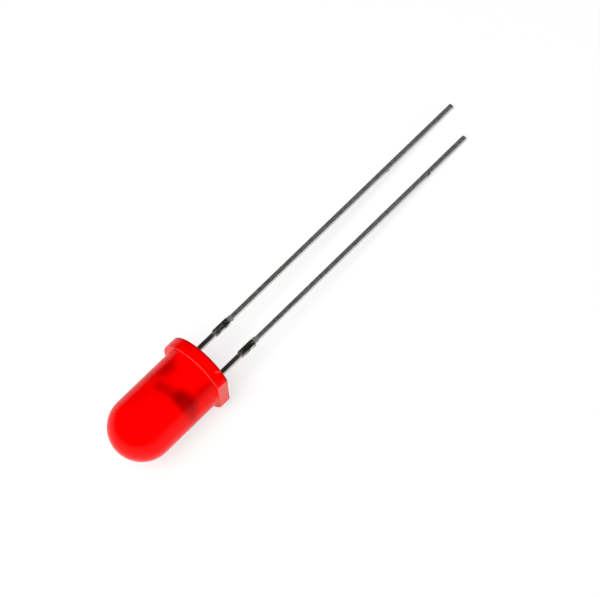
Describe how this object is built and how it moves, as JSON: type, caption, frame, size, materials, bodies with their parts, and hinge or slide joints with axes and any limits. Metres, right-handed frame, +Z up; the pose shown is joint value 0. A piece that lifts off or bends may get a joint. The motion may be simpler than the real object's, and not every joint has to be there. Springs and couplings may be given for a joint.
{
  "type": "through-hole light-emitting diode",
  "caption": "Round red diffused through-hole indicator lamp: flanged epoxy lens with a cathode flat, stamped leadframe inside and long straight wire leads.",
  "frame": {"origin": "on the surface it lies on, under the middle of the bounding box", "axes": "+Z up, +X along the leads away from the lens, +Y from the cathode towards the anode; lying on the flange's edge and both lead tips, so the lens axis is 5.7 degrees off level"},
  "size_m": [0.0368, 0.0056, 0.0061],
  "materials": {
    "red_epoxy": "translucent diffused red epoxy, smooth moulded surface",
    "lead_steel": "dull tin plate on a stamped steel strip, with sheared edges",
    "semiconductor": "diced semiconductor with a polished top",
    "silver_epoxy": "cured silver-filled adhesive",
    "gold_wire": "bright drawn gold"
  },
  "bodies": {
    "root": {"epoxy_lens": "red_epoxy", "cathode_lead": "lead_steel", "anode_lead": "lead_steel", "led_chip": "semiconductor", "die_attach": "silver_epoxy", "bond_wire": "gold_wire"}
  },
  "joints": []
}
